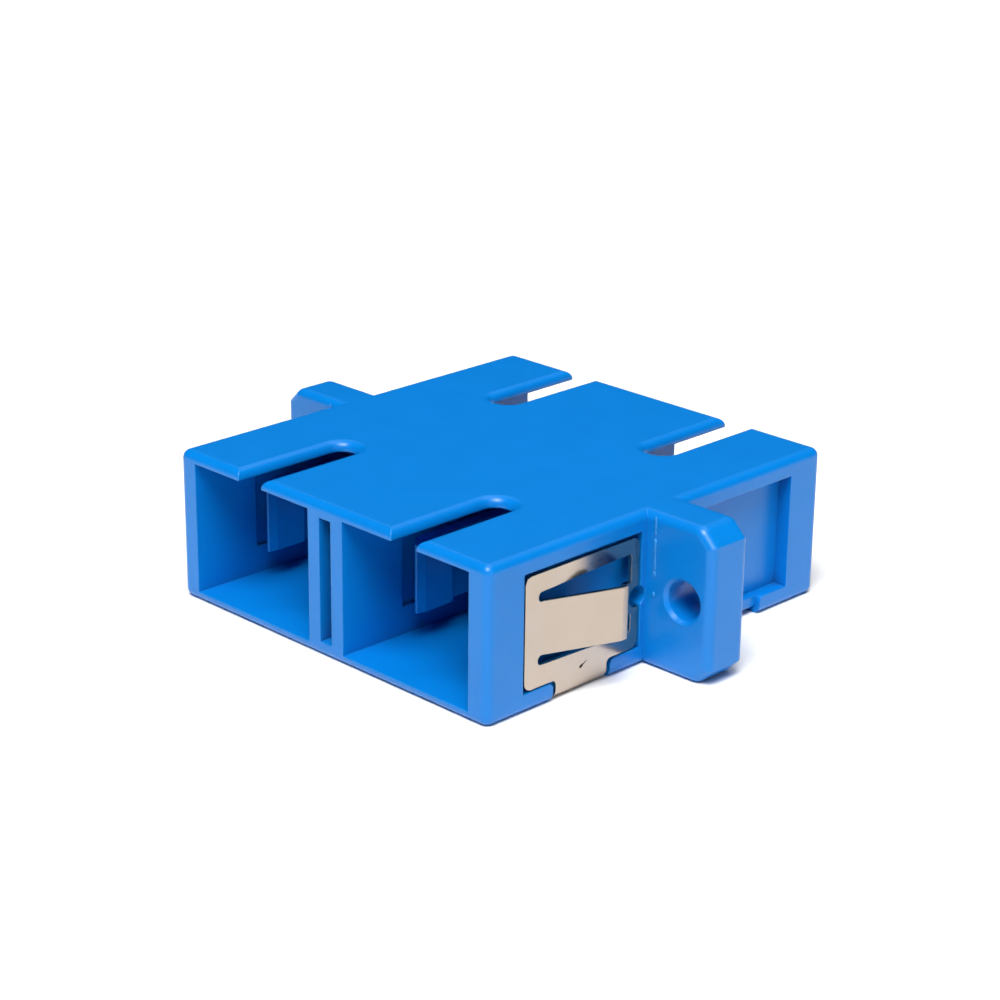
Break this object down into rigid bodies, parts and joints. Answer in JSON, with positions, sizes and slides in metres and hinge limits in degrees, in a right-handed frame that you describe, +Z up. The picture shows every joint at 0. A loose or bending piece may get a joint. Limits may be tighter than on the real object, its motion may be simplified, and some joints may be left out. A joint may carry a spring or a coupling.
{
  "type": "duplex fibre optic adapter",
  "caption": "Flanged coupler for square push-pull optical plugs: side-by-side ports with keyways at each end, a panel flange with screw holes and a folded spring clip.",
  "frame": {"origin": "centre of the flange, on the weld plane between the housing halves, half way between the two optical axes and level with them", "axes": "+Z up, the keyways' side; -Y out of the front mouths, the end with the clip; +X to the right of someone who looks into the front mouths"},
  "size_m": [0.0348, 0.0274, 0.0092],
  "materials": {
    "housing_plastic": "moulded blue PBT, satin gloss",
    "latch_plastic": "moulded blue PBT, satin",
    "sleeve_ceramic": "white zirconia, ground",
    "clip_steel": "bright rolled spring steel"
  },
  "bodies": {
    "root": {"front_housing": "housing_plastic", "rear_housing": "housing_plastic", "left_front_latch": "latch_plastic", "right_front_latch": "latch_plastic", "left_rear_latch": "latch_plastic", "right_rear_latch": "latch_plastic", "left_sleeve": "sleeve_ceramic", "right_sleeve": "sleeve_ceramic", "mounting_clip": "clip_steel"}
  },
  "joints": []
}
